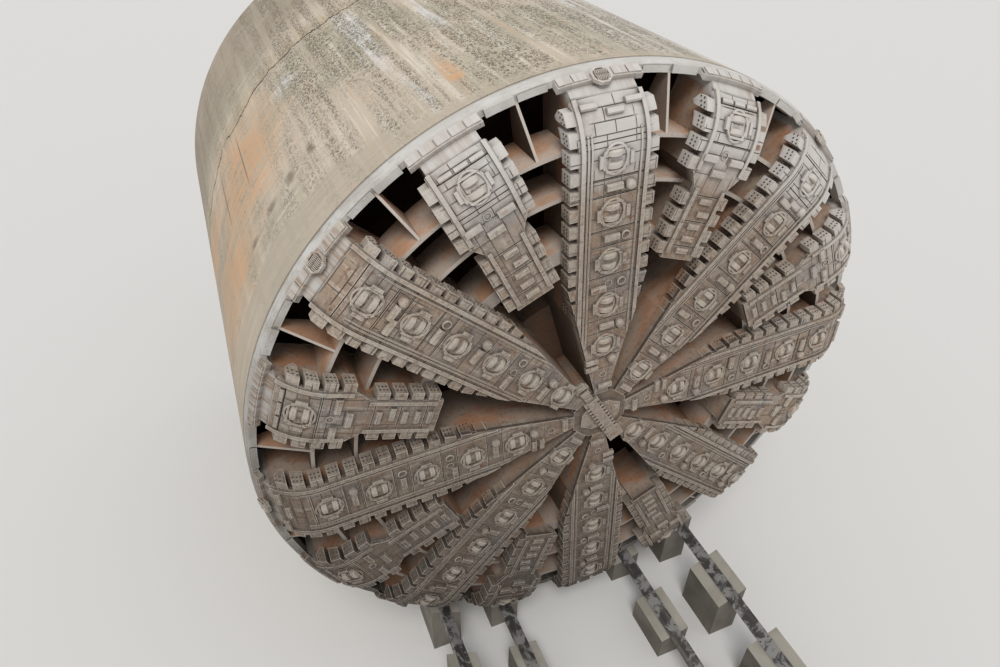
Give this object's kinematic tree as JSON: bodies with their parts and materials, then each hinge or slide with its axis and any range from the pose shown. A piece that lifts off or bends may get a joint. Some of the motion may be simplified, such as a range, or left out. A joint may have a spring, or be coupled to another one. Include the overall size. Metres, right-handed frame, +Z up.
{
  "type": "tunnel boring machine",
  "caption": "Shield machine with a turning spoked cutterhead, thrust rams, a segment erector and a man lock, resting on a slide-rail cradle.",
  "frame": {"origin": "on the floor under the middle of the whole length, cradle included", "axes": "+Z up, -Y the way the cutterhead faces, +X to the right when looking along +Y"},
  "size_m": [17.5998, 23.01, 18.3999],
  "materials": {
    "head_steel": "worn, caked with dry clay",
    "rim_steel": "worn bright, pale dust",
    "inner_plate": "rusty with dried slurry",
    "cutter_steel": "worn",
    "skin_steel": "stained and caked",
    "inner_paint": "satin",
    "machine_blue": "satin",
    "frame_grey": "satin",
    "rod_chrome": "polished",
    "erector_yellow": "satin",
    "pipe_steel": "primer",
    "seal_wire": "wire brush",
    "rail_steel": "worn bright with grease",
    "concrete": "cast"
  },
  "bodies": {
    "shield": {"front_shield": "skin_steel", "tail_shield": "skin_steel", "pressure_bulkhead": "inner_paint", "drive_housing": "inner_paint", "drive_motors": "machine_blue", "thrust_frame": "inner_paint", "ram_barrels": "frame_grey", "support_girders": "inner_paint", "erector_beams": "erector_yellow", "man_lock": "inner_paint", "slurry_pipes": "pipe_steel", "tail_seals": "seal_wire", "slide_rails": "rail_steel", "pedestals": "concrete"},
    "cutterhead": {"main_arm_1": "head_steel", "main_arm_2": "head_steel", "main_arm_3": "head_steel", "main_arm_4": "head_steel", "main_arm_5": "head_steel", "main_arm_6": "head_steel", "main_arm_7": "head_steel", "main_arm_8": "head_steel", "aux_arm_1": "head_steel", "aux_arm_2": "head_steel", "aux_arm_3": "head_steel", "aux_arm_4": "head_steel", "aux_arm_5": "head_steel", "aux_arm_6": "head_steel", "aux_arm_7": "head_steel", "aux_arm_8": "head_steel", "head_hub": "head_steel", "gauge_rim": "rim_steel", "ring_plates": "inner_plate", "web_plates": "inner_plate", "disc_cutters": "cutter_steel"},
    "rams_top": {"rams_top": "rod_chrome"},
    "rams_right": {"rams_right": "rod_chrome"},
    "rams_bottom": {"rams_bottom": "rod_chrome"},
    "rams_left": {"rams_left": "rod_chrome"},
    "erector_carriage": {"erector_carriage": "frame_grey"},
    "erector_ring": {"erector_ring": "erector_yellow"},
    "erector_gripper": {"erector_gripper": "erector_yellow"},
    "man_lock_door": {"man_lock_door": "inner_paint"}
  },
  "joints": [
    {"name": "cutterhead_spin", "type": "hinge", "parent": "shield", "child": "cutterhead", "pos_m": [0, -4.705, 9.6], "axis": [0, 1, 0], "continuous": true},
    {"name": "thrust_top", "type": "slide", "parent": "shield", "child": "rams_top", "axis": [0, 1, 0], "range_m": [0, 2.6]},
    {"name": "thrust_right", "type": "slide", "parent": "shield", "child": "rams_right", "axis": [0, 1, 0], "range_m": [0, 2.6]},
    {"name": "thrust_bottom", "type": "slide", "parent": "shield", "child": "rams_bottom", "axis": [0, 1, 0], "range_m": [0, 2.6]},
    {"name": "thrust_left", "type": "slide", "parent": "shield", "child": "rams_left", "axis": [0, 1, 0], "range_m": [0, 2.6]},
    {"name": "erector_travel", "type": "slide", "parent": "shield", "child": "erector_carriage", "axis": [0, 1, 0], "range_m": [0, 2]},
    {"name": "erector_turn", "type": "hinge", "parent": "erector_carriage", "child": "erector_ring", "pos_m": [0, 6.495, 9.6], "axis": [0, 1, 0], "range_deg": [-200, 200]},
    {"name": "gripper_reach", "type": "slide", "parent": "erector_ring", "child": "erector_gripper", "axis": [0, 0, -1], "range_m": [0, 0.9]},
    {"name": "man_lock_door_swing", "type": "hinge", "parent": "shield", "child": "man_lock_door", "pos_m": [-2.68, 1.631, 13.9], "axis": [0, 0, -1], "range_deg": [0, 110]}
  ]
}
